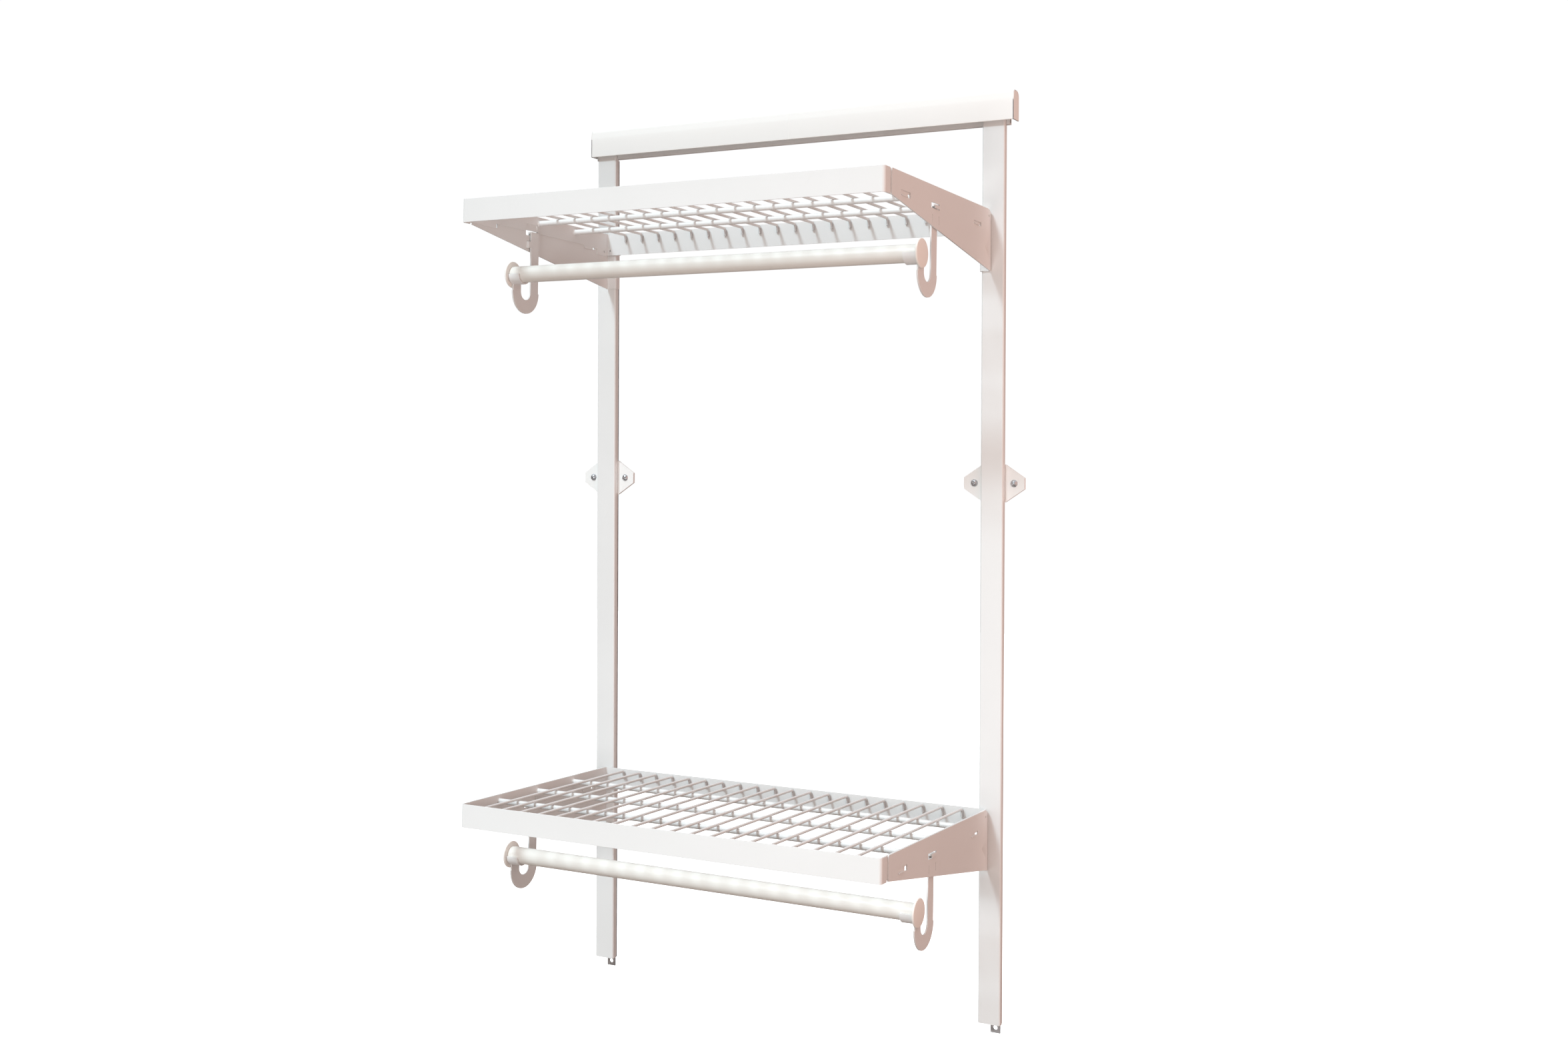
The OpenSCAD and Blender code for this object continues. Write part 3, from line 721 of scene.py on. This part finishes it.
class RACK_OT_decks(Operator):
    """Cross rods and the deck wires welded on them"""
    bl_idname = "rack.decks"
    bl_label = "Decks"

    def cross_rods(self, level):
        """Round bars from side to side, with a small flare of weld at each end."""
        half = BAR_HALF
        cy, cz = circle_points(1.0, 24)
        x = np.array([-half, -half + 0.6 * MM, -half + 1.6 * MM, -half + 3 * MM, -half / 2, 0,
                      half / 2, half - 3 * MM, half - 1.6 * MM, half - 0.6 * MM, half])
        flare = 1.1 * MM * np.exp(-(half - np.abs(x)) / (0.8 * MM))
        size = (BAR_RADIUS + flare)[:, None]
        shells = []
        for s in BAR_ROWS:
            points = on_shelf(x[:, None], s + size * cy[None],
                              -BAR_DROP + size * cz[None], level)
            shells.append((points, tube_faces(*points.shape[:2])))
        return shells

    def wires(self, level):
        """Each wire's middle line runs back from the fascia, turns down through a
        quarter circle and ends against the rear band; a circle is carried along it."""
        low, high = node_box(f"{level}_deck_wires")
        radius, drop, bend, back = WIRE_RADIUS, WIRE_DROP, WIRE_BEND, WIRE_BACK
        first, last = low[0] + radius, high[0] - radius
        front = SHELF_DEPTH - SHEET
        near = np.concatenate([row + np.array([-3, -1.5, 0, 1.5, 3]) * MM
                               for row in BAR_ROWS])
        between = np.array([300, 215, 130, 40]) * MM
        along = np.sort(np.concatenate([near, between, [front, back + bend]]))[::-1]
        turn = arc(back + bend, -drop - bend, bend, 90, 180, 6)[1:]
        path = np.concatenate([np.stack([along, np.full(len(along), -drop)], axis=-1), turn,
                               [[back, -9 * MM], [back, -drop - WIRE_TAIL]]])
        ahead = np.gradient(path, axis=0)
        ahead /= np.linalg.norm(ahead, axis=1, keepdims=True)
        normal = np.stack([-ahead[:, 1], ahead[:, 0]], axis=-1)
        cx, cn = circle_points(radius, sizes().wire_around)
        s = path[:, 0, None] + normal[:, 0, None] * cn[None]
        h = path[:, 1, None] + normal[:, 1, None] * cn[None]
        shells = []
        for x0 in np.linspace(first, last, WIRE_COUNT):
            points = on_shelf(x0 + np.broadcast_to(cx[None], s.shape), s, h, level)
            shells.append((points, tube_faces(*points.shape[:2])))
        return shells

    def execute(self, context):
        for level in LEVELS:
            rods = make_piece(f"{level}_cross_bars", self.cross_rods(level),
                              f"{level}_cross_rods")
            finish_piece(rods, coat_material())
            wires = make_piece(f"{level}_wires", self.wires(level), f"{level}_deck_wires")
            finish_piece(wires, material("coated_wire", lambda n: welded_wire(
                n, finishes().coat)))
        return {"FINISHED"}


class RACK_OT_hangers(Operator):
    """J-shaped rod hangers with their saddles"""
    bl_idname = "rack.hangers"
    bl_label = "Rod hangers"

    def execute(self, context):
        for level in LEVELS:
            for side in SIDES:
                piece = eased_copy(f"{level}_{side}_strap", f"{level}_{side}_hanger",
                                   sizes().ease)
                finish_piece(piece, coat_material())
        return {"FINISHED"}


class RACK_OT_rods(Operator):
    """Clothes rods and their moulded end caps"""
    bl_idname = "rack.rods"
    bl_label = "Rods"

    def tube(self, level):
        """A wall outline (outside, rounded end, inside, rounded end) turned about the
        rod's axis."""
        low, high = node_box(f"{level}_rod")
        outer, inner, ease = ROD_RADIUS, ROD_BORE, 0.3 * MM
        x = np.array([low[0] + ease, *np.linspace(low[0] + 5 * MM, high[0] - 5 * MM, 24),
                      high[0] - ease])
        outside = np.stack([x, np.full(len(x), outer)], axis=-1)
        inside = np.stack([x[::-1], np.full(len(x), inner)], axis=-1)
        right = [[high[0], outer - ease], [high[0], inner + ease]]
        left = [[low[0], inner + ease], [low[0], outer - ease]]
        return np.concatenate([outside, right, inside, left])

    def cap(self, level, side):
        """Half outline of a cap, from the middle of its domed face out to the rim, back
        over the flange and down the hollow spigot, turned about the rod's axis."""
        low, high = node_box(f"{level}_{side}_rod_cap")
        sign = 1 if side == "right" else -1
        face = high[0] if side == "right" else -low[0]
        disc, spigot, wall = CAP_RADIUS, SPIGOT_RADIUS, SPIGOT_WALL
        rim, doming, step, middle = 1.1 * MM, 1.3 * MM, 0.5 * MM, 0.05 * MM
        base = face - CAP_THICK
        r = np.linspace(middle, disc - rim, 12)
        dome = face - doming * (r / disc) ** 2
        edge = arc(0, 0, 1.0, 90, -90, 9)[1:-1]
        rim_x = (face + base - doming) / 2
        rim_half = (dome[-1] - base) / 2
        rim_points = np.stack([rim_x + rim_half * edge[:, 1] + 0.02 * MM,
                               disc - rim + rim * edge[:, 0]], axis=-1)
        end = base - SPIGOT_LENGTH
        back = np.array([[base, disc - rim], [base, spigot + step],
                         [base - step, spigot], [end + step, spigot],
                         [end, spigot - step], [end, spigot - wall],
                         [base + step, spigot - wall], [base + step, middle]])
        outline = np.concatenate([np.stack([dome, r], axis=-1), rim_points, back])
        return outline * [sign, 1]

    def turned(self, outline, level, around, closed):
        """Carries a half outline (x, radius) round the rod's axis."""
        cs, ch = circle_points(1.0, around)
        x = np.repeat(outline[:, :1], around, axis=1)
        s = ROD_FORWARD + outline[:, 1:] * cs[None]
        h = -ROD_DROP + outline[:, 1:] * ch[None]
        points = on_shelf(x, s, h, level)
        faces = [list(q) for q in grid_faces(len(outline), around, closed, True)]
        if not closed:
            faces += [list(range(around)),
                      list(range((len(outline) - 1) * around, len(outline) * around))]
        return points, faces

    def execute(self, context):
        around = sizes().around
        for level in LEVELS:
            tube = self.turned(self.tube(level), level, around, True)
            piece = make_piece(f"{level}_tube", [tube], f"{level}_rod")
            finish_piece(piece, material("rod_enamel", lambda n: rod_enamel(
                n, finishes().rod)))
            for side in SIDES:
                shell = self.turned(self.cap(level, side), level, around, False)
                piece = make_piece(f"{level}_{side}_cap", [shell],
                                   f"{level}_{side}_rod_cap")
                finish_piece(piece, material("cap_plastic", lambda n: moulded_plastic(
                    n, finishes().cap, 0.45)))
        return {"FINISHED"}


class RACK_OT_stage(Operator):
    """Pale floor, bright room, three soft lights and the camera"""
    bl_idname = "rack.stage"
    bl_label = "Stage"

    def floor(self):
        """A flat square floor well below the rack's feet. Its tone drifts slowly, and it
        glows white away from the rack. It throws no light back on the rack."""
        half, level, lines = 12.0, CAD_BOX[0][2] - 0.9, 9
        u, v = np.meshgrid(np.linspace(-half, half, lines),
                           np.linspace(-half, half, lines), indexing="ij")
        points = np.stack([u, v, np.full_like(u, level)], axis=-1)
        mesh = bpy.data.meshes.new("floor")
        mesh.from_pydata(points.reshape(-1, 3).tolist(), [],
                         grid_faces(lines, lines).tolist())
        floor = bpy.data.objects.new("floor", mesh)
        bpy.context.scene.collection.objects.link(floor)
        tree = Tree("pale_floor")
        drift = tree.noise(0.8, 2.0)
        tone = tree.blend(drift, (0.9, 0.9, 0.9, 1), (0.93, 0.93, 0.925, 1))
        away = (tree.axis("X") ** 2 + tree.axis("Y") ** 2) ** 0.5
        glow = tree.blend(away.step(1.2, 2.3), (0, 0, 0, 1), (1, 1, 1, 1))
        floor.data.materials.append(tree.finish(
            {"Roughness": 0.8, "Emission Strength": 0.9}, Base_Color=tone,
            Emission_Color=glow))
        floor.visible_diffuse = floor.visible_glossy = False

    def lamp(self, name, power, size, place, target, colour):
        """A square area light at a place, facing a target."""
        data = bpy.data.lights.new(name, "AREA")
        data.energy, data.size, data.color = power, size, colour
        lamp = bpy.data.objects.new(name, data)
        lamp.location = place
        lamp.rotation_mode = "QUATERNION"
        lamp.rotation_quaternion = (Vector(target) - Vector(place)).to_track_quat("-Z", "Y")
        bpy.context.scene.collection.objects.link(lamp)

    def room(self, strength):
        """World light that depends on direction: bright above, warm in front, dim behind,
        below and on the right. What shows behind the rack is plain white."""
        world = bpy.data.worlds.new("bright_room")
        bpy.context.scene.world = world
        world.use_nodes = True
        nodes, links = world.node_tree.nodes, world.node_tree.links
        where = nodes.new("ShaderNodeTexCoord")
        split = nodes.new("ShaderNodeSeparateXYZ")
        links.new(where.outputs["Generated"], split.inputs[0])

        def mixed(axis, low, high, first, second):
            """Colour that goes from first to second as a direction's axis rises."""
            ramp = nodes.new("ShaderNodeMapRange")
            ramp.interpolation_type = "SMOOTHSTEP"
            ramp.inputs["From Min"].default_value = low
            ramp.inputs["From Max"].default_value = high
            links.new(split.outputs[axis], ramp.inputs["Value"])
            mix = nodes.new("ShaderNodeMix")
            mix.data_type = "RGBA"
            links.new(ramp.outputs[0], mix.inputs[0])
            for socket, colour in ((6, first), (7, second)):
                if isinstance(colour, tuple):
                    mix.inputs[socket].default_value = (*colour, 1)
                else:
                    links.new(colour, mix.inputs[socket])
            return mix.outputs[2]

        level = mixed("Y", -0.7, 0.6, (0.36, 0.29, 0.25), (0.20, 0.18, 0.17))
        above = mixed("Z", 0.3, 0.9, level, (1.1, 1.1, 1.1))
        below = mixed("Z", -0.9, -0.1, (0.25, 0.21, 0.185), above)
        around = mixed("X", 0.0, 0.8, below, (0.16, 0.13, 0.12))
        seen = nodes.new("ShaderNodeLightPath").outputs["Is Camera Ray"]
        sky = nodes.new("ShaderNodeMix")
        sky.data_type = "RGBA"
        links.new(seen, sky.inputs[0])
        links.new(around, sky.inputs[6])
        white = 1.02 / strength
        sky.inputs[7].default_value = (white, white, white, 1)
        links.new(sky.outputs[2], nodes["Background"].inputs["Color"])
        nodes["Background"].inputs["Strength"].default_value = strength

    def camera(self):
        """Long-lens camera to the rack's right, level with its middle."""
        yaw, pitch, roll = (math.radians(a) for a in (27.658, -0.496, 0.247))
        ahead = Vector((-math.sin(yaw) * math.cos(pitch), math.cos(yaw) * math.cos(pitch),
                        math.sin(pitch)))
        level = Vector((math.cos(yaw), math.sin(yaw), 0))
        up = level.cross(ahead)
        right = level * math.cos(roll) + up * math.sin(roll)
        up = up * math.cos(roll) - level * math.sin(roll)
        data = bpy.data.cameras.new("camera")
        data.lens, data.sensor_width = 38.31, 36
        data.shift_y = -0.0396
        camera = bpy.data.objects.new("camera", data)
        turn = Matrix((right, up, -ahead)).transposed()
        camera.matrix_world = Matrix.Translation((1.0681, -2.0604, -0.4400)) @ turn.to_4x4()
        bpy.context.scene.collection.objects.link(camera)
        bpy.context.scene.camera = camera

    def execute(self, context):
        stage = context.scene.rack_stage
        self.floor()
        self.room(stage.room)
        aim = (0, -0.1, -0.6)
        self.lamp("key_light", stage.key_power, 3, (-4.4, -13.5, 13.5), aim,
                  (0.74, 0.92, 1))
        self.lamp("fill_light", stage.fill_power, 0.5, (0.12, -2.4, -0.8), aim, (1, 1, 1))
        self.lamp("warm_bounce", stage.bounce_power, 2.2, (1.1, -0.5, -0.3),
                  (0, -0.5, -0.3), (1, 0.67, 0.57))
        self.camera()
        context.scene.view_settings.view_transform = "Standard"
        return {"FINISHED"}


PIECE_OPERATORS = (RACK_OT_rail, RACK_OT_rail_covers, RACK_OT_uprights, RACK_OT_wall_plates,
                   RACK_OT_brackets, RACK_OT_shelf_frames, RACK_OT_decks, RACK_OT_hangers,
                   RACK_OT_rods, RACK_OT_stage)


class RACK_PT_panel(Panel):
    """Sidebar panel with the rack's settings and one button for each piece"""
    bl_label = "Wardrobe rack"
    bl_idname = "RACK_PT_panel"
    bl_space_type = "VIEW_3D"
    bl_region_type = "UI"
    bl_category = "Rack"

    def draw(self, context):
        for group in ("rack_finishes", "rack_sizes", "rack_stage"):
            settings = getattr(context.scene, group)
            for name in settings.__annotations__:
                self.layout.prop(settings, name)
        for operator in PIECE_OPERATORS:
            self.layout.operator(operator.bl_idname)


GROUPS = {"rack_finishes": RackFinishes, "rack_sizes": RackSizes, "rack_stage": RackStage}
CLASSES = (*GROUPS.values(), *PIECE_OPERATORS, RACK_PT_panel)


def register():
    for cls in CLASSES:
        bpy.utils.register_class(cls)
    for name, group in GROUPS.items():
        setattr(bpy.types.Scene, name, PointerProperty(type=group))


def unregister():
    for name in GROUPS:
        delattr(bpy.types.Scene, name)
    for cls in reversed(CLASSES):
        bpy.utils.unregister_class(cls)


def main():
    register()
    for operator in PIECE_OPERATORS:
        group, name = operator.bl_idname.split(".")
        getattr(getattr(bpy.ops, group), name)()


if __name__ == "__main__":
    main()
